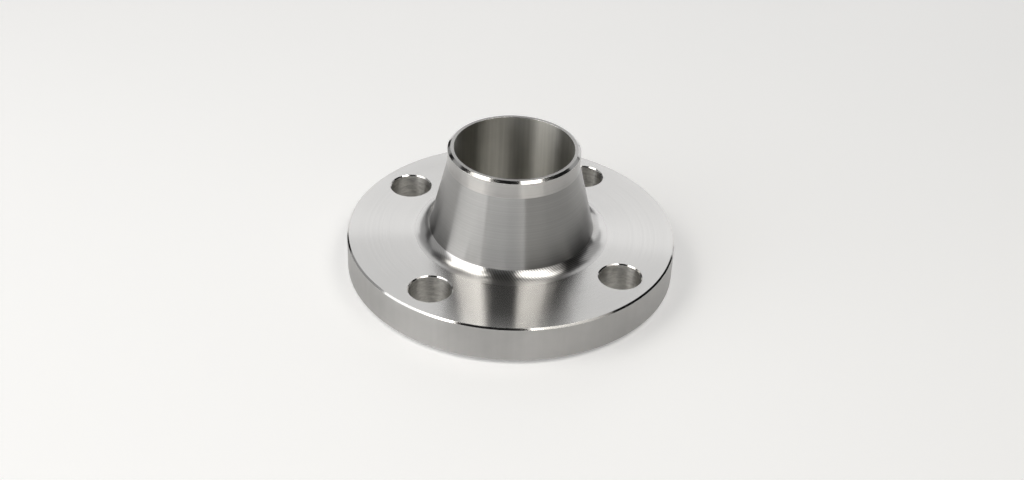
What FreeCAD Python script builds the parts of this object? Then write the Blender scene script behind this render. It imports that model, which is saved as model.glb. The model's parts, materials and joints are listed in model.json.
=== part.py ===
import FreeCAD, Part
import math
import os

# Weld neck pipe flange: NPS 2, Class 150, raised face, for Schedule 10S pipe.
# One forging, machined all over. The gasket face lies on z = 0 with its centre at
# the origin, and +Z runs along the bore towards the weld end.
# The bolt holes straddle the X and Y axes.

# Driving dimensions, in millimetres
FLANGE_DIAMETER = 152.4
FLANGE_THICKNESS = 19.05        # over the raised face
LENGTH_THROUGH_HUB = 63.5
RAISED_FACE_DIAMETER = 92.1
RAISED_FACE_HEIGHT = 1.6
PIPE_OUTSIDE_DIAMETER = 60.3
PIPE_WALL = 2.77
HUB_BASE_DIAMETER = 77.8        # where the cone's line meets the back face
HUB_FILLET_RADIUS = 9.0
HUB_FILLET_HEIGHT = 3.45        # above the back face, where the fillet cuts the cone
WELD_BAND_LENGTH = 8.3          # cylinder and bevel, from the weld end to the cone
BOLT_CIRCLE_DIAMETER = 120.65
BOLT_HOLE_DIAMETER = 19.05
BOLT_HOLE_COUNT = 4
FIRST_BOLT_ANGLE = 45.0         # degrees from +X
ROOT_LAND = 1.5                 # flat ring left at the tip of the weld bevel
WELD_BEVEL_ANGLE = 37.5         # degrees from the plane of the weld end
RIM_CHAMFER = 0.75
RAISED_FACE_CHAMFER = 0.3
BORE_CHAMFER = 0.4              # at the gasket face
BOLT_HOLE_CHAMFER = 0.5

# Worked out from the driving dimensions
RIM_RADIUS = FLANGE_DIAMETER / 2
RAISED_FACE_RADIUS = RAISED_FACE_DIAMETER / 2
NECK_RADIUS = PIPE_OUTSIDE_DIAMETER / 2
BORE_RADIUS = NECK_RADIUS - PIPE_WALL
BOLT_HOLE_RADIUS = BOLT_HOLE_DIAMETER / 2
BOLT_CIRCLE_RADIUS = BOLT_CIRCLE_DIAMETER / 2
BEVEL_WIDTH = PIPE_WALL - ROOT_LAND
BEVEL_HEIGHT = BEVEL_WIDTH * math.tan(math.radians(WELD_BEVEL_ANGLE))
CONE_TOP_HEIGHT = LENGTH_THROUGH_HUB - WELD_BAND_LENGTH


def point(radius, height):
    """A point of the section, which lies in the XZ plane."""
    return FreeCAD.Vector(radius, 0, height)


def hub_fillet():
    """Ends and middle of the arc from the hub's cone to the back face. It meets the back face
    flush, and the cone at an angle."""
    taper = (HUB_BASE_DIAMETER / 2 - NECK_RADIUS) / (CONE_TOP_HEIGHT - FLANGE_THICKNESS)
    top_radius = HUB_BASE_DIAMETER / 2 - HUB_FILLET_HEIGHT * taper
    sweep = math.acos(1 - HUB_FILLET_HEIGHT / HUB_FILLET_RADIUS)
    foot_radius = top_radius + HUB_FILLET_RADIUS * math.sin(sweep)
    centre = point(foot_radius, FLANGE_THICKNESS + HUB_FILLET_RADIUS)
    arc = []
    for angle in (sweep, sweep / 2, 0):
        spoke = point(math.sin(angle), math.cos(angle)) * HUB_FILLET_RADIUS
        arc.append(centre - spoke)
    return arc


def section():
    """Half section of the forging, as one closed face."""
    arc_top, arc_middle, arc_foot = hub_fillet()
    corners = [
        arc_foot,
        point(RIM_RADIUS - RIM_CHAMFER, FLANGE_THICKNESS),
        point(RIM_RADIUS, FLANGE_THICKNESS - RIM_CHAMFER),
        point(RIM_RADIUS, RAISED_FACE_HEIGHT + RIM_CHAMFER),
        point(RIM_RADIUS - RIM_CHAMFER, RAISED_FACE_HEIGHT),
        point(RAISED_FACE_RADIUS, RAISED_FACE_HEIGHT),
        point(RAISED_FACE_RADIUS, RAISED_FACE_CHAMFER),
        point(RAISED_FACE_RADIUS - RAISED_FACE_CHAMFER, 0),
        point(BORE_RADIUS + BORE_CHAMFER, 0),
        point(BORE_RADIUS, BORE_CHAMFER),
        point(BORE_RADIUS, LENGTH_THROUGH_HUB),
        point(BORE_RADIUS + ROOT_LAND, LENGTH_THROUGH_HUB),
        point(NECK_RADIUS, LENGTH_THROUGH_HUB - BEVEL_HEIGHT),
        point(NECK_RADIUS, CONE_TOP_HEIGHT),
        arc_top,
    ]
    edges = []
    for start, end in zip(corners, corners[1:]):
        edges.append(Part.LineSegment(start, end).toShape())
    edges.append(Part.Arc(arc_top, arc_middle, arc_foot).toShape())
    return Part.Face(Part.Wire(edges))


def bolt_hole():
    """Cutting tool for one bolt hole on the Z axis, with both mouths chamfered."""
    mouth_radius = BOLT_HOLE_RADIUS + BOLT_HOLE_CHAMFER
    thickness = FLANGE_THICKNESS - RAISED_FACE_HEIGHT
    drill = Part.makeCylinder(BOLT_HOLE_RADIUS, thickness, point(0, RAISED_FACE_HEIGHT))
    front_mouth = Part.makeCone(
        mouth_radius, BOLT_HOLE_RADIUS, BOLT_HOLE_CHAMFER, point(0, RAISED_FACE_HEIGHT))
    back_mouth = Part.makeCone(
        BOLT_HOLE_RADIUS, mouth_radius, BOLT_HOLE_CHAMFER,
        point(0, FLANGE_THICKNESS - BOLT_HOLE_CHAMFER))
    return drill.fuse([front_mouth, back_mouth])


def weld_neck_flange():
    """The whole forging: the turned section with its ring of bolt holes."""
    origin = FreeCAD.Vector(0, 0, 0)
    z_axis = FreeCAD.Vector(0, 0, 1)
    turned = section().revolve(origin, z_axis, 360)
    holes = []
    for number in range(BOLT_HOLE_COUNT):
        hole = bolt_hole()
        hole.translate(point(BOLT_CIRCLE_RADIUS, 0))
        hole.rotate(origin, z_axis, FIRST_BOLT_ANGLE + number * 360 / BOLT_HOLE_COUNT)
        holes.append(hole)
    return turned.cut(holes)


os.makedirs("parts", exist_ok=True)
flange = weld_neck_flange()
solid = flange.Solids[0]
solid.exportStep("parts/weld_neck_flange.step")
box = solid.BoundBox
print("solids", len(flange.Solids), "valid", solid.isValid(), "volume mm3", round(solid.Volume))
print("size mm", round(box.XLength, 2), round(box.YLength, 2), round(box.ZLength, 2))
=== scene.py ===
import json
import math

import bpy
from mathutils import Matrix, Vector


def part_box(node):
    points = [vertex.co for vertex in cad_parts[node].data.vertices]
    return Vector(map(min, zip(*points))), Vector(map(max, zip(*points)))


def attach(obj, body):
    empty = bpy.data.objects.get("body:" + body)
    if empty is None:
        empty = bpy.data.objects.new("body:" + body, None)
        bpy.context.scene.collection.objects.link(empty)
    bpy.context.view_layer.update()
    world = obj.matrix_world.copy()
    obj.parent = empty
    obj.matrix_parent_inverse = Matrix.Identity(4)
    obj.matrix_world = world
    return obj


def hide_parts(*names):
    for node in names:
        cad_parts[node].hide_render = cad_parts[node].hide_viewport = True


# The looks of a weld neck pipe flange: one stainless steel forging, turned all over and
# drilled. The whole surface is built here as one closed mesh on the CAD part's section,
# with the edge breaks and the gasket face's serrations that the CAD solid leaves out.
# Lengths are in metres, in the part's own frame: the gasket face lies on z = 0 and +Z runs
# along the bore to the weld end.

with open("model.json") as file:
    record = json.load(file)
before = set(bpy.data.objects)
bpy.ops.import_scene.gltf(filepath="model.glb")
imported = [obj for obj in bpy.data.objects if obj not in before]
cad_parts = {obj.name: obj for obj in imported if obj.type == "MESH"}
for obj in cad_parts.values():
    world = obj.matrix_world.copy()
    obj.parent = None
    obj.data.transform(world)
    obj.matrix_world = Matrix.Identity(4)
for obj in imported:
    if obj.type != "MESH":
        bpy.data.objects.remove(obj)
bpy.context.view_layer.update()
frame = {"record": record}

NODE = "weld_neck_flange"
MM = 0.001

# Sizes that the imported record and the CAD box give
mounts = {mount["name"]: mount for mount in frame["record"]["mounts"]}
node_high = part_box(NODE)[1]
RIM_RADIUS = node_high.x
LENGTH = node_high.z
BACK_FACE = mounts["nut_face"]["pos_m"][2]
RIM_FRONT = mounts["bolt_holes"]["pos_m"][2]
BORE_RADIUS = mounts["bore"]["dims"]["r_mm"] * MM
NECK_RADIUS = mounts["weld_end_outside"]["dims"]["r_mm"] * MM
BOLT_CIRCLE_RADIUS = mounts["bolt_holes"]["dims"]["pcd_mm"] * MM / 2
BOLT_HOLE_RADIUS = mounts["bolt_holes"]["dims"]["hole_r_mm"] * MM
BOLT_HOLE_COUNT = mounts["bolt_holes"]["dims"]["count"]

# The rest of the section, as in the CAD source
FIRST_BOLT_ANGLE = math.radians(45)
RAISED_FACE_RADIUS = 46.05 * MM
HUB_BASE_RADIUS = 38.9 * MM     # where the cone would meet the back face
HUB_FILLET = 9 * MM
HUB_FILLET_HEIGHT = 3.45 * MM   # above the back face, where the fillet cuts the cone
CONE_TOP = LENGTH - 8.3 * MM
ROOT_LAND = 1.5 * MM
BEVEL_SLOPE = math.tan(math.radians(37.5))
RIM_CHAMFER = 0.75 * MM
RAISED_FACE_CHAMFER = 0.3 * MM
BORE_CHAMFER = 0.4 * MM
HOLE_CHAMFER = 0.5 * MM

# What the tools leave behind
EDGE_BREAK = 0.1 * MM           # radius of the worn or deburred corners
CONE_BLEND = 0.8 * MM           # radius where the cone runs out into the weld end's band
SERRATION_PITCH = 0.9 * MM
SERRATION_DEPTH = 0.06 * MM

# How the finishes are drawn. Scales are features per metre, and tones are the least and the
# greatest change of the colour, as a share of it.
HAZE_SHARE = 0.27               # of the light that a surface reflects
QUARTER_TURN = 0.25             # turns the smear of light from along the grooves to across
RING_DRIFT = 0.001              # how fast turned rings change round the axis
BANDS_PER_GROOVE = 0.12         # lighter and darker bands of turned grooves
BAND_HEIGHT = 2.0               # times that of a groove
WEAR = 0.06                     # how much bands and patches change the roughness
PATCH_SCALE = 45.0
STAIN_SCALE = 22.0
STAIN_TONES = (-0.12, 0.1)
STREAK_SQUEEZE = 0.03           # a streak's width over its length
DRILL_SQUEEZE = 0.35            # a drill mark's height over its width
DRILL_SCALE = 700.0
DRILL_HEIGHT = 0.03 * MM
DRILL_TONES = (-0.3, 0.25)

# The chatter marks on the hub's fillet
CHATTER_MARKS = 190             # round the fillet
CHATTER_RADIUS = 42 * MM        # the fillet's middle, from the axis
CHATTER_SLANT = 100 / CHATTER_RADIUS    # radians of wave per metre: a lean of about 30 degrees
CHATTER_HEIGHT = 0.01 * MM
CHATTER_PAINTED_SHADING = 0.75             # how far their painted shade and highlight change the colour, drawn strongly on purpose
CHATTER_FOOT = -25 * MM         # height less radius, where they have faded out
CHATTER_TOP = -19 * MM          # height less radius, where they are at full strength
CHATTER_ANGLE = math.radians(-78)   # round the axis from +X, where they are strongest
CHATTER_FOCUS = 4.0             # how quickly they weaken away from there
CHATTER_LEAST = 0.15            # their strength on the far side
CHATTER_PATCHES = 60.0          # where they are stronger or weaker
CHATTER_UNEVENNESS = (0.5, 1.0)

# How finely the mesh is divided
COLUMNS = 360                   # round the axis
PATCH_SIDE = 24                 # rows and columns of the square patch round a bolt hole
PATCH_POINTS = 4 * PATCH_SIDE   # round its edge
PATCH_FIRST_ROW = 2             # of the rings across a drilled face
PATCH_LAST_ROW = PATCH_FIRST_ROW + PATCH_SIDE
PATCH_LOOPS = 5                 # rings of faces between a patch's edge and its hole
EDGE_STEPS = 2                  # faces round a broken edge
FILLET_STEPS = 14
LONGEST_FACE = 4.5 * MM         # along the section

FINISHES = [
    "faced", "turned", "fillet", "rim", "edge", "weld_prep", "bored", "drilled", "serrated"]


# ------------------------------------------------------------------ the section

def unit(x, y):
    length = math.hypot(x, y)
    return x / length, y / length


def rounded_corner(before, corner, after, radius, steps):
    """Points and outward normals of the arc that rounds one corner of the section.
    The section runs with its metal on the left, so a normal is the path turned right."""
    into = unit(corner[0] - before[0], corner[1] - before[1])
    out = unit(after[0] - corner[0], after[1] - corner[1])
    turn = math.atan2(into[0] * out[1] - into[1] * out[0], into[0] * out[0] + into[1] * out[1])
    reach = radius * math.tan(abs(turn) / 2)
    start = (corner[0] - into[0] * reach, corner[1] - into[1] * reach)
    side = 1 if turn > 0 else -1
    centre = (start[0] - into[1] * radius * side, start[1] + into[0] * radius * side)
    first = math.atan2(into[1], into[0])
    arc = []
    for step in range(steps + 1):
        heading = first + turn * step / steps
        normal = (math.sin(heading), -math.cos(heading))
        arc.append((
            centre[0] + normal[0] * radius * side,
            centre[1] + normal[1] * radius * side,
            normal))
    return arc


def divided(start, end, normal):
    """Points strictly between two points of the section, no further apart than a face may be."""
    length = math.hypot(end[0] - start[0], end[1] - start[1])
    pieces = max(1, math.ceil(length / LONGEST_FACE))
    points = []
    for piece in range(1, pieces):
        share = piece / pieces
        points.append((
            start[0] + (end[0] - start[0]) * share,
            start[1] + (end[1] - start[1]) * share,
            normal))
    return points


def path(corners):
    """Rings of the section as (radius, height, normal, finish of the face that follows).
    A corner is (radius, height, rounding, steps, finish of the arc and of the line after it)
    with one more finish if the line's is its own. The first and last corners are only
    directions: the path runs from the start of the first arc to the end of the last."""
    arcs = []
    for before, corner, after in zip(corners, corners[1:], corners[2:]):
        arcs.append(rounded_corner(before, corner, after, corner[2], corner[3]))
    rings = []
    for corner, arc, after in zip(corners[1:], arcs, [*arcs[1:], None]):
        for point in arc[:-1]:
            rings.append((*point, corner[4]))
        rings.append((*arc[-1], corner[-1]))
        if after:
            for point in divided(arc[-1], after[0], after[0][2]):
                rings.append((*point, corner[-1]))
    return rings


def hub_section():
    """From the back face at the hub's foot, up the hub and over the weld end, down the bore
    and out along the gasket face's chamfer to the first serration."""
    taper = (HUB_BASE_RADIUS - NECK_RADIUS) / (CONE_TOP - BACK_FACE)
    fillet_top = HUB_BASE_RADIUS - HUB_FILLET_HEIGHT * taper
    fillet_slope = math.asin(1 - HUB_FILLET_HEIGHT / HUB_FILLET)
    fillet_corner = fillet_top + HUB_FILLET_HEIGHT * math.tan(fillet_slope)
    bevel_top = LENGTH - (NECK_RADIUS - BORE_RADIUS - ROOT_LAND) * BEVEL_SLOPE
    return path([
        (RIM_RADIUS, BACK_FACE, 0, 0, "faced"),
        (fillet_corner, BACK_FACE, HUB_FILLET - EDGE_BREAK / 2, FILLET_STEPS, "fillet"),
        (fillet_top, BACK_FACE + HUB_FILLET_HEIGHT, EDGE_BREAK, EDGE_STEPS, "turned"),
        (NECK_RADIUS, CONE_TOP, CONE_BLEND, EDGE_STEPS, "weld_prep"),
        (NECK_RADIUS, bevel_top, EDGE_BREAK, EDGE_STEPS, "edge"),
        (BORE_RADIUS + ROOT_LAND, LENGTH, EDGE_BREAK, EDGE_STEPS, "edge", "weld_prep"),
        (BORE_RADIUS, LENGTH, EDGE_BREAK, EDGE_STEPS, "edge", "bored"),
        (BORE_RADIUS, BORE_CHAMFER, EDGE_BREAK, EDGE_STEPS, "edge"),
        (BORE_RADIUS + BORE_CHAMFER, 0, EDGE_BREAK, EDGE_STEPS, "edge", "serrated"),
        (RAISED_FACE_RADIUS, 0, 0, 0, "serrated"),
    ])


def rim_section():
    """From the last serration, round the raised face's edge, to the front of the rim."""
    return path([
        (BORE_RADIUS, 0, 0, 0, "serrated"),
        (RAISED_FACE_RADIUS - RAISED_FACE_CHAMFER, 0, EDGE_BREAK, EDGE_STEPS, "edge"),
        (RAISED_FACE_RADIUS, RAISED_FACE_CHAMFER, EDGE_BREAK, EDGE_STEPS, "edge", "turned"),
        (RAISED_FACE_RADIUS, RIM_FRONT, 2 * EDGE_BREAK, EDGE_STEPS, "faced"),
        (RIM_RADIUS, RIM_FRONT, 0, 0, "faced"),
    ])


def edge_section():
    """From the front of the rim, up its outside, to the back face."""
    return path([
        (RAISED_FACE_RADIUS, RIM_FRONT, 0, 0, "faced"),
        (RIM_RADIUS - RIM_CHAMFER, RIM_FRONT, EDGE_BREAK, EDGE_STEPS, "edge"),
        (RIM_RADIUS, RIM_FRONT + RIM_CHAMFER, EDGE_BREAK, EDGE_STEPS, "edge", "rim"),
        (RIM_RADIUS, BACK_FACE - RIM_CHAMFER, EDGE_BREAK, EDGE_STEPS, "edge"),
        (RIM_RADIUS - RIM_CHAMFER, BACK_FACE, EDGE_BREAK, EDGE_STEPS, "edge", "faced"),
        (HUB_BASE_RADIUS, BACK_FACE, 0, 0, "faced"),
    ])


def hole_section():
    """A bolt hole's wall from its mouth in the back face to its mouth in the front."""
    mouth = BOLT_HOLE_RADIUS + HOLE_CHAMFER
    return path([
        (2 * mouth, BACK_FACE, 0, 0, "faced"),
        (mouth, BACK_FACE, EDGE_BREAK, EDGE_STEPS, "edge"),
        (BOLT_HOLE_RADIUS, BACK_FACE - HOLE_CHAMFER, EDGE_BREAK, EDGE_STEPS, "edge", "drilled"),
        (BOLT_HOLE_RADIUS, RIM_FRONT + HOLE_CHAMFER, EDGE_BREAK, EDGE_STEPS, "edge"),
        (mouth, RIM_FRONT, EDGE_BREAK, EDGE_STEPS, "edge", "faced"),
        (2 * mouth, RIM_FRONT, 0, 0, "faced"),
    ])


def serrations(inner, outer):
    """Rings of the round-bottomed grooves between two radii of the gasket face. A groove is a
    parabola, so a third of the way across it is 8/9 of its full depth."""
    grooves = int((outer - inner) / SERRATION_PITCH)
    margin = (outer - inner - grooves * SERRATION_PITCH) / 2
    slope = 4 * SERRATION_DEPTH / SERRATION_PITCH
    flank = SERRATION_DEPTH * 8 / 9
    rings = [(inner + margin, 0, (0, -1), "serrated")]
    for groove in range(grooves):
        crest = inner + margin + groove * SERRATION_PITCH
        rings.append((crest + SERRATION_PITCH / 3, flank, unit(slope / 3, -1), "serrated"))
        rings.append((crest + SERRATION_PITCH * 2 / 3, flank, unit(-slope / 3, -1), "serrated"))
        rings.append((crest + SERRATION_PITCH, 0, (0, -1), "serrated"))
    return rings


# ------------------------------------------------------------------ the mesh

class Shell:
    """Points with their exact normals, and faces with their finish."""

    def __init__(self):
        self.points = []
        self.normals = []
        self.faces = []
        self.finishes = []

    def add(self, x, y, z, normal):
        self.points.append((x, y, z))
        self.normals.append(normal)
        return len(self.points) - 1

    def face(self, corners, finish):
        self.faces.append(corners)
        self.finishes.append(FINISHES.index(finish))

    def join(self, ring, after, finish):
        """Quads between two closed rings with as many points."""
        count = len(ring)
        for here in range(count):
            beside = (here + 1) % count
            self.face((ring[here], ring[beside], after[beside], after[here]), finish)

    def lathe_ring(self, radius, height, normal):
        ring = []
        for column in range(COLUMNS):
            angle = 2 * math.pi * column / COLUMNS
            c, s = math.cos(angle), math.sin(angle)
            ring.append(self.add(
                radius * c, radius * s, height, (normal[0] * c, normal[0] * s, normal[1])))
        return ring

    def lathe(self, section):
        """Turns part of the section round the axis. Returns its first and last rings."""
        rings = [self.lathe_ring(radius, height, normal) for radius, height, normal, _ in section]
        for ring, after, row in zip(rings, rings[1:], section):
            self.join(ring, after, row[3])
        return rings[0], rings[-1]


def hole_centre(number):
    angle = FIRST_BOLT_ANGLE + 2 * math.pi * number / BOLT_HOLE_COUNT
    return angle, BOLT_CIRCLE_RADIUS * math.cos(angle), BOLT_CIRCLE_RADIUS * math.sin(angle)


def hole_columns(number):
    """First and last column of the square patch round a bolt hole."""
    angle = hole_centre(number)[0]
    first = round(angle / (2 * math.pi) * COLUMNS) - PATCH_SIDE // 2
    return first, first + PATCH_SIDE


def hole_ring(shell, number, radius, height, normal):
    """Points round a bolt hole, anticlockwise from the side away from the bore. There is one
    for each point of the edge of the hole's patch."""
    angle, x, y = hole_centre(number)
    ring = []
    for step in range(PATCH_POINTS):
        turn = angle + 2 * math.pi * step / PATCH_POINTS
        c, s = math.cos(turn), math.sin(turn)
        ring.append(shell.add(
            x + radius * c, y + radius * s, height, (normal[0] * c, normal[0] * s, normal[1])))
    return ring


def hole_wall(shell, number):
    """One bolt hole's wall. Returns the rings of its mouths in the back face and the front."""
    section = hole_section()
    rings = [hole_ring(shell, number, *row[:3]) for row in section]
    for ring, after, row in zip(rings, rings[1:], section):
        shell.join(ring, after, row[3])
    return rings[0], rings[-1]


def patch_edge(rows, number):
    """The points round a bolt hole's patch, once round from its first row and first column."""
    rows = rows[PATCH_FIRST_ROW:PATCH_LAST_ROW + 1]
    first, last = hole_columns(number)
    steps = range(PATCH_SIDE)
    edge = [rows[0][(first + step) % COLUMNS] for step in steps]
    edge += [rows[step][last % COLUMNS] for step in steps]
    edge += [rows[PATCH_SIDE][(last - step) % COLUMNS] for step in steps]
    edge += [rows[PATCH_SIDE - step][first % COLUMNS] for step in steps]
    return edge


def in_patch(row, column, margin=0):
    """Whether a point of a drilled face lies in a bolt hole's patch, margin points or more
    inside its edge."""
    if not PATCH_FIRST_ROW + margin <= row <= PATCH_LAST_ROW - margin:
        return False
    for number in range(BOLT_HOLE_COUNT):
        first = hole_columns(number)[0]
        if margin <= (column - first) % COLUMNS <= PATCH_SIDE - margin:
            return True
    return False


def fill_patch(shell, edge, opening, normal):
    """The faces between a patch's square edge and its round opening."""
    loops = [edge]
    for loop in range(1, PATCH_LOOPS):
        points = []
        for here, there in zip(edge, opening):
            here, there = Vector(shell.points[here]), Vector(shell.points[there])
            points.append(shell.add(*here.lerp(there, loop / PATCH_LOOPS), normal))
        loops.append(points)
    loops.append(opening)
    for loop, after in zip(loops, loops[1:]):
        shell.join(loop, after, "faced")


def face_radii(first_radius, last_radius, up):
    """Radii of the rings across a drilled face, from the second to the last but one."""
    reach = BOLT_CIRCLE_RADIUS * math.sin(math.pi * PATCH_SIDE / COLUMNS)
    radii = []
    for row in range(PATCH_SIDE + 1):
        radii.append(BOLT_CIRCLE_RADIUS + up * reach * (1 - 2 * row / PATCH_SIDE))
    return [(first_radius + radii[0]) / 2, *radii, (radii[-1] + last_radius) / 2]


def drilled_face(shell, first_ring, last_ring, mouths):
    """The flat ring between two lathe rings, with a round opening for each bolt hole. It
    faces up when it runs inwards and down when it runs outwards."""
    first_x, first_y, height = shell.points[first_ring[0]]
    first_radius = math.hypot(first_x, first_y)
    last_radius = math.hypot(*shell.points[last_ring[0]][:2])
    up = 1 if first_radius > last_radius else -1
    normal = (0, 0, up)

    rows = [first_ring]
    for row, radius in enumerate(face_radii(first_radius, last_radius, up), start=1):
        ring = []
        for column in range(COLUMNS):
            angle = 2 * math.pi * column / COLUMNS
            x, y = radius * math.cos(angle), radius * math.sin(angle)
            ring.append(None if in_patch(row, column, 1) else shell.add(x, y, height, normal))
        rows.append(ring)
    rows.append(last_ring)

    for row, (ring, after) in enumerate(zip(rows, rows[1:])):
        for column in range(COLUMNS):
            beside = (column + 1) % COLUMNS
            if not (in_patch(row, column) and in_patch(row + 1, beside)):
                shell.face((ring[column], ring[beside], after[beside], after[column]), "faced")

    corner = PATCH_POINTS * (7 if up > 0 else 5) // 8   # the mouth's point at the edge's start
    for number, mouth in enumerate(mouths):
        opening = [mouth[(corner + up * step) % PATCH_POINTS] for step in range(PATCH_POINTS)]
        fill_patch(shell, patch_edge(rows, number), opening, normal)


def flange_shell():
    """The whole forging as one closed shell."""
    shell = Shell()
    hub, rim = hub_section(), rim_section()
    hub_foot, hub_end = shell.lathe(hub)
    gasket_start, gasket_end = shell.lathe(serrations(hub[-1][0], rim[0][0]))
    rim_start, rim_end = shell.lathe(rim)
    edge_start, edge_end = shell.lathe(edge_section())
    shell.join(hub_end, gasket_start, "serrated")
    shell.join(gasket_end, rim_start, "serrated")
    mouths = [hole_wall(shell, number) for number in range(BOLT_HOLE_COUNT)]
    drilled_face(shell, edge_end, hub_foot, [back for back, _ in mouths])
    drilled_face(shell, rim_end, edge_start, [front for _, front in mouths])
    return shell


def flange_piece(materials):
    shell = flange_shell()
    mesh = bpy.data.meshes.new("flange")
    mesh.from_pydata(shell.points, [], shell.faces)
    for material in materials:
        mesh.materials.append(material)
    mesh.polygons.foreach_set("material_index", shell.finishes)
    mesh.polygons.foreach_set("use_smooth", [True] * len(shell.faces))
    mesh.normals_split_custom_set_from_vertices(shell.normals)
    mesh.validate()
    piece = bpy.data.objects.new("flange", mesh)
    bpy.context.scene.collection.objects.link(piece)
    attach(piece, "root")
    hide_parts(NODE)


# ------------------------------------------------------------------ the finishes

class Nodes:
    """A new material, with short forms for building its nodes."""

    def __init__(self, name):
        self.material = bpy.data.materials.new(name)
        self.material.use_nodes = True
        self.tree = self.material.node_tree
        self.tree.nodes.clear()

    def add(self, kind, settings=(), **inputs):
        node = self.tree.nodes.new(kind)
        for name, value in dict(settings).items():
            setattr(node, name, value)
        for name, value in inputs.items():
            self.feed(node.inputs[name.replace("_", " ")], value)
        return node

    def feed(self, socket, value):
        if isinstance(value, bpy.types.NodeSocket):
            self.tree.links.new(value, socket)
        else:
            socket.default_value = value

    def math(self, operation, first, second=0.0, third=0.0):
        node = self.tree.nodes.new("ShaderNodeMath")
        node.operation = operation
        for socket, value in zip(node.inputs, (first, second, third)):
            self.feed(socket, value)
        return node.outputs["Value"]

    def spread(self, value, low, high):
        """Takes a noise value about its middle to a range."""
        node = self.add(
            "ShaderNodeMapRange", Value=value,
            From_Min=0.3, From_Max=0.7, To_Min=low, To_Max=high)
        return node.outputs["Result"]

    def scaled(self, vector, factors):
        node = self.add("ShaderNodeVectorMath", {"operation": "MULTIPLY"})
        self.feed(node.inputs[0], vector)
        self.feed(node.inputs[1], factors)
        return node.outputs["Vector"]

    def object_place(self):
        return self.add("ShaderNodeTexCoord").outputs["Object"]

    def lathe_grain(self, anisotropy):
        """Shader inputs of a surface that smears light across its grooves round the axis."""
        tangent = self.add("ShaderNodeTangent", {"direction_type": "RADIAL", "axis": "Z"})
        return {
            "Anisotropic": anisotropy,
            "Anisotropic_Rotation": QUARTER_TURN,
            "Tangent": tangent.outputs["Tangent"]}

    def noise(self, vector, scale, detail=2.0, roughness=0.5):
        node = self.add(
            "ShaderNodeTexNoise",
            Vector=vector, Scale=scale, Detail=detail, Roughness=roughness)
        return node.outputs["Fac"]


def lathe_coordinates(nodes):
    """Object coordinates, the angle round the axis, the distance along the section, and noise
    coordinates in which high scales draw rings round the axis."""
    place = nodes.object_place()
    split = nodes.add("ShaderNodeSeparateXYZ", Vector=place)
    x, y, z = (split.outputs[name] for name in "XYZ")
    squares = nodes.math("ADD", nodes.math("MULTIPLY", x, x), nodes.math("MULTIPLY", y, y))
    radius = nodes.math("SQRT", squares)
    along = nodes.math("SUBTRACT", z, radius)
    rings = nodes.add(
        "ShaderNodeCombineXYZ",
        X=along, Y=nodes.math("MULTIPLY", x, RING_DRIFT), Z=nodes.math("MULTIPLY", y, RING_DRIFT))
    return place, nodes.math("ARCTAN2", y, x), along, rings.outputs["Vector"]


def steel_shader(nodes, colour, tone, roughness, haze, **inputs):
    """Finishes a material: steel of a colour that the tone makes lighter or darker. A machined
    surface scatters light in a narrow lobe, and some in a wide one if it has any haze, which
    is the wide lobe's roughness."""
    brightness = nodes.math("ADD", tone, 1.0)
    tinted = nodes.add("ShaderNodeVectorMath", {"operation": "SCALE"}, Scale=brightness)
    nodes.feed(tinted.inputs[0], colour)
    inputs = {"Base_Color": tinted.outputs["Vector"], "Metallic": 1.0, **inputs}
    narrow = nodes.add("ShaderNodeBsdfPrincipled", Roughness=roughness, **inputs)
    surface = narrow.outputs["BSDF"]
    if haze:
        wide = nodes.add("ShaderNodeBsdfPrincipled", Roughness=haze, **inputs)
        lobes = nodes.add("ShaderNodeMixShader", Fac=HAZE_SHARE)
        nodes.feed(lobes.inputs[1], surface)
        nodes.feed(lobes.inputs[2], wide.outputs["BSDF"])
        surface = lobes.outputs["Shader"]
    nodes.add("ShaderNodeOutputMaterial", Surface=surface)


def chatter(nodes, place, angle, along):
    """The slanting marks of a tool that shook as it cut, strongest on one side. They fade out
    towards the fillet's foot."""
    turn = nodes.math("MULTIPLY", angle, CHATTER_MARKS)
    slant = nodes.math("MULTIPLY", along, CHATTER_SLANT)
    wave = nodes.math("SINE", nodes.math("ADD", turn, slant))
    facing = nodes.math("COSINE", nodes.math("SUBTRACT", angle, CHATTER_ANGLE))
    focused = nodes.math("POWER", nodes.math("MAXIMUM", facing, 0.0), CHATTER_FOCUS)
    strength = nodes.math("MAXIMUM", focused, CHATTER_LEAST)
    fade = nodes.add(
        "ShaderNodeMapRange", Value=along, From_Min=CHATTER_FOOT, From_Max=CHATTER_TOP)
    uneven = nodes.spread(nodes.noise(place, CHATTER_PATCHES), *CHATTER_UNEVENNESS)
    strength = nodes.math(
        "MULTIPLY", strength, nodes.math("MULTIPLY", fade.outputs["Result"], uneven))
    return nodes.math("MULTIPLY", wave, strength)


def worn(nodes, roughness, *noises):
    """A roughness that noises change a little from place to place."""
    factor = 1.0
    for noise in noises:
        factor = nodes.math("ADD", nodes.spread(noise, -WEAR, WEAR), factor)
    return nodes.math("MULTIPLY", factor, roughness)


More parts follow.
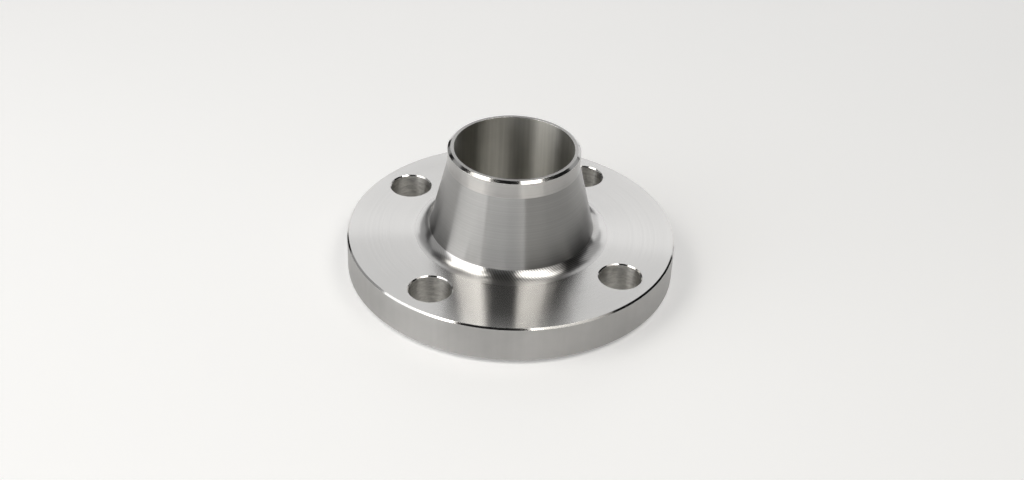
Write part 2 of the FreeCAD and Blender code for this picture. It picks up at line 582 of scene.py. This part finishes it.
def turned_steel(
        name, colour, roughness, anisotropy, feed, depth, tone=0.04, haze=0.28, shaken=False):
    """Lathe-turned stainless steel. feed is the width of its grooves and depth their height.
    It has chatter marks where the tool was shaken, with their painted shade and highlight."""
    nodes = Nodes(name)
    place, angle, along, rings = lathe_coordinates(nodes)
    fine = nodes.noise(rings, 1 / feed, detail=3.0)
    bands = nodes.noise(rings, BANDS_PER_GROOVE / feed)
    patches = nodes.noise(place, PATCH_SCALE)
    height = nodes.math("ADD", fine, nodes.math("MULTIPLY", bands, BAND_HEIGHT))
    bump = nodes.add("ShaderNodeBump", Strength=1.0, Distance=depth, Height=height)
    shade = nodes.spread(fine, -tone, tone)
    if shaken:
        marks = chatter(nodes, place, angle, along)
        bump = nodes.add(
            "ShaderNodeBump", Strength=1.0, Distance=CHATTER_HEIGHT,
            Height=marks, Normal=bump.outputs["Normal"])
        # the marks' painted shade and highlight: dark and light stripes in the colour, strongest
        # on the side where the fillet's bright highlight falls
        shade = nodes.math("ADD", shade, nodes.math("MULTIPLY", marks, CHATTER_PAINTED_SHADING))
    steel_shader(
        nodes, colour, shade, worn(nodes, roughness, bands, patches), haze,
        Normal=bump.outputs["Normal"], **nodes.lathe_grain(anisotropy))
    return nodes.material


def streaked_steel(name, colour, roughness, anisotropy, streak_width, tone, haze):
    """A turned bore or rim, stained, and streaked along the axis."""
    nodes = Nodes(name)
    place = nodes.object_place()
    drawn = nodes.scaled(place, (1.0, 1.0, STREAK_SQUEEZE))
    streaks = nodes.noise(drawn, 1 / streak_width, detail=3.0)
    patches = nodes.noise(place, PATCH_SCALE)
    stains = nodes.noise(place, STAIN_SCALE, detail=4.0, roughness=0.6)
    shade = nodes.math(
        "ADD", nodes.spread(streaks, -tone, tone), nodes.spread(stains, *STAIN_TONES))
    steel_shader(
        nodes, colour, shade, worn(nodes, roughness, patches), haze,
        **nodes.lathe_grain(anisotropy))
    return nodes.material


def drilled_steel(name, colour, roughness, anisotropy, haze):
    """A drilled wall. Its grooves run level, so they smear light up and down the hole."""
    nodes = Nodes(name)
    flat = nodes.scaled(nodes.object_place(), (DRILL_SQUEEZE, DRILL_SQUEEZE, 1.0))
    marks = nodes.noise(flat, DRILL_SCALE, detail=4.0, roughness=0.7)
    bump = nodes.add("ShaderNodeBump", Strength=1.0, Distance=DRILL_HEIGHT, Height=marks)
    upright = nodes.add("ShaderNodeCombineXYZ", Z=1.0)
    steel_shader(
        nodes, colour, nodes.spread(marks, *DRILL_TONES), roughness, haze,
        Anisotropic=anisotropy, Tangent=upright.outputs["Vector"],
        Normal=bump.outputs["Normal"])
    return nodes.material


# The steel's colour under each finish, tuned against the photo and not measured from an alloy.
# Besides the finish, some hold painted light and shade: the turned hub, the rim and the weld
# end are painted darker as shade, and the bolt holes' walls lighter as light that doesn't reach
# in.
STEEL = (0.64, 0.63, 0.615)
TURNED_STEEL_PAINTED_DARKER = (0.395, 0.391, 0.384)
BRIGHT_STEEL = (0.84, 0.83, 0.815)
RIM_STEEL_PAINTED_DARKER = (0.465, 0.458, 0.448)
WELD_STEEL_PAINTED_DARKER = (0.52, 0.512, 0.5)
BORE_STEEL = (0.6, 0.59, 0.55)
HOLE_STEEL_PAINTED_LIGHTER = (0.8, 0.79, 0.765)

materials = {
    "faced": turned_steel(
        "faced", BRIGHT_STEEL, roughness=0.17, anisotropy=1.0,
        feed=1.2 * MM, depth=0.0004 * MM, tone=0.025, haze=None),
    "turned": turned_steel(
        "turned", TURNED_STEEL_PAINTED_DARKER, roughness=0.24, anisotropy=1.0,
        feed=0.9 * MM, depth=0.006 * MM, tone=0.08),
    "fillet": turned_steel(
        "fillet", BRIGHT_STEEL, roughness=0.18, anisotropy=0.95,
        feed=0.9 * MM, depth=0.001 * MM, shaken=True),
    "rim": streaked_steel(
        "rim", RIM_STEEL_PAINTED_DARKER, roughness=0.34, anisotropy=0.9,
        streak_width=3.0 * MM, tone=0.02, haze=0.45),
    "edge": turned_steel(
        "edge", BRIGHT_STEEL, roughness=0.12, anisotropy=0.5,
        feed=0.9 * MM, depth=0.0002 * MM, haze=None),
    "weld_prep": turned_steel(
        "weld_prep", WELD_STEEL_PAINTED_DARKER, roughness=0.22, anisotropy=1.0,
        feed=0.9 * MM, depth=0.002 * MM, tone=0.05),
    "bored": streaked_steel(
        "bored", BORE_STEEL, roughness=0.4, anisotropy=1.0,
        streak_width=1.5 * MM, tone=0.08, haze=0.42),
    "drilled": drilled_steel(
        "drilled", HOLE_STEEL_PAINTED_LIGHTER, roughness=0.3, anisotropy=1.0, haze=0.3),
    "serrated": turned_steel(
        "serrated", STEEL, roughness=0.3, anisotropy=0.8,
        feed=0.9 * MM, depth=0.001 * MM),
}
flange_piece([materials[finish] for finish in FINISHES])


# ------------------------------------------------------------------ the studio

CAMERA_AZIMUTH = math.radians(-10.3)
CAMERA_ELEVATION = math.radians(34.3)
CAMERA_ROLL = math.radians(2.4)
CAMERA_DISTANCE = 0.677
CAMERA_LENS = 50.7              # in millimetres, as the sensor is
CAMERA_SENSOR = 36              # wide
LOOK_AT = (0.6 * MM, 0.0, 12.9 * MM)    # across, along and up, as the camera faces
PANEL_DISTANCE = 1.1
WHITE = (1.0, 1.0, 1.0)
WARM = (1.0, 0.975, 0.925)
FLOOR_REACH = 1.15              # from its middle to each side
FLOOR_TONES = (0.88, 0.9)
FLOOR_CLOUDS = 3.0              # per metre, of those tones
FLOOR_GLOW = 0.28               # the floor gives off some light, but not under the flange
FLOOR_SHADE = 5 * MM            # how far in from the rim that light has faded out
WORLD_LIGHT = 0.008             # on the flange
WORLD_BACKDROP = 0.6            # to the camera


def make_camera():
    """The camera stands left of the Y axis and looks down at the weld end."""
    turn = Matrix.Rotation(CAMERA_AZIMUTH, 3, "Z")
    back = turn @ Vector((0, -math.cos(CAMERA_ELEVATION), math.sin(CAMERA_ELEVATION)))
    level_right = turn @ Vector((1, 0, 0))
    level_up = back.cross(level_right)
    right = level_right * math.cos(CAMERA_ROLL) + level_up * math.sin(CAMERA_ROLL)
    up = back.cross(right)
    place = turn @ Vector(LOOK_AT) + back * CAMERA_DISTANCE
    data = bpy.data.cameras.new("camera")
    data.lens = CAMERA_LENS
    data.sensor_width = CAMERA_SENSOR
    camera = bpy.data.objects.new("camera", data)
    facing = Matrix((right, up, back)).transposed().to_4x4()
    camera.matrix_world = Matrix.Translation(place) @ facing
    bpy.context.scene.collection.objects.link(camera)
    bpy.context.scene.camera = camera


def floor_material():
    nodes = Nodes("floor")
    place = nodes.object_place()
    tone = nodes.spread(nodes.noise(place, FLOOR_CLOUDS), *FLOOR_TONES)
    distance = nodes.add("ShaderNodeVectorMath", {"operation": "LENGTH"})
    nodes.feed(distance.inputs[0], place)
    glow = nodes.add(
        "ShaderNodeMapRange", Value=distance.outputs["Value"],
        From_Min=RIM_RADIUS - FLOOR_SHADE, From_Max=RIM_RADIUS, To_Min=0.0, To_Max=FLOOR_GLOW)
    shader = nodes.add(
        "ShaderNodeBsdfPrincipled",
        Base_Color=tone, Roughness=0.6, Emission_Color=(*WHITE, 1),
        Emission_Strength=glow.outputs["Result"])
    nodes.add("ShaderNodeOutputMaterial", Surface=shader.outputs["BSDF"])
    return nodes.material


def make_floor():
    reach = FLOOR_REACH
    corners = [(-reach, -reach, 0), (reach, -reach, 0), (reach, reach, 0), (-reach, reach, 0)]
    mesh = bpy.data.meshes.new("floor")
    mesh.from_pydata(corners, [], [(0, 1, 2, 3)])
    mesh.materials.append(floor_material())
    floor = bpy.data.objects.new("floor", mesh)
    bpy.context.scene.collection.objects.link(floor)


def make_panel(name, azimuths, elevations, radiance, colour=WHITE):
    """A soft box that faces the flange and fills a span of azimuth and elevation as the flange
    sees it. Azimuth is from the camera's side, in degrees, and positive to its right."""
    azimuth = math.radians(sum(azimuths) / 2)
    elevation = math.radians(sum(elevations) / 2)
    across = math.radians((azimuths[1] - azimuths[0]) / 2)
    upright = math.radians((elevations[1] - elevations[0]) / 2)
    turn = Matrix.Rotation(CAMERA_AZIMUTH + azimuth, 3, "Z")
    direction = turn @ Vector((0, -math.cos(elevation), math.sin(elevation)))
    data = bpy.data.lights.new(name, "AREA")
    data.shape = "RECTANGLE"
    data.size = 2 * PANEL_DISTANCE * math.tan(across) * math.cos(elevation)
    data.size_y = 2 * PANEL_DISTANCE * math.tan(upright)
    data.energy = radiance * math.pi * data.size * data.size_y
    data.color = colour
    panel = bpy.data.objects.new(name, data)
    panel.location = direction * PANEL_DISTANCE
    panel.rotation_mode = "QUATERNION"
    panel.rotation_quaternion = direction.to_track_quat("Z", "Y")
    bpy.context.scene.collection.objects.link(panel)


def make_world(light, backdrop):
    """A dim room that lights the flange a little, and looks pale to the camera."""
    world = bpy.data.worlds.new("studio")
    world.use_nodes = True
    background = world.node_tree.nodes["Background"]
    background.inputs["Color"].default_value = (*WHITE, 1)
    seen = world.node_tree.nodes.new("ShaderNodeLightPath").outputs["Is Camera Ray"]
    strength = world.node_tree.nodes.new("ShaderNodeMapRange")
    strength.inputs["To Min"].default_value = light
    strength.inputs["To Max"].default_value = backdrop
    world.node_tree.links.new(seen, strength.inputs["Value"])
    world.node_tree.links.new(strength.outputs["Result"], background.inputs["Strength"])
    bpy.context.scene.world = world


make_camera()
make_floor()

# Azimuths and elevations in degrees, then radiance. These were tuned against the photo with
# the help of scratch fits, as report.md says.
make_panel("key_low", (-90, -37), (1, 28), 1.65)
make_panel("key", (-90, -36), (28, 42), 1.25)
make_panel("key_high", (-92, -40), (42, 54), 3.1, WARM)
make_panel("key_top", (-118, -46), (54, 64), 2.65, WARM)
make_panel("key_crown", (-110, -60), (64, 76), 2.15, WARM)
make_panel("right", (14, 78), (40, 50), 0.7, WARM)
make_panel("right_high", (16, 66), (50, 62), 3.5, WARM)
make_panel("right_top", (24, 110), (62, 76), 2.45, WARM)
make_panel("front_low", (-35, 20), (1, 12), 1.4)
make_panel("front_left", (-35, -6), (12, 28), 0.75)
make_panel("front_right", (-6, 18), (12, 38), 0.32)
make_panel("back", (150, 205), (18, 36), 0.86)
make_panel("back_high", (150, 205), (36, 54), 0.62)
make_panel("back_top", (150, 210), (54, 74), 0.15)
make_panel("back_low", (130, 160), (1, 18), 0.65)
make_panel("left_low", (-125, -90), (1, 40), 0.28)
make_panel("back_right", (118, 150), (20, 45), 0.3)
make_panel("back_left", (205, 225), (10, 45), 0.25)

make_world(WORLD_LIGHT, WORLD_BACKDROP)
bpy.context.scene.view_settings.view_transform = "Standard"
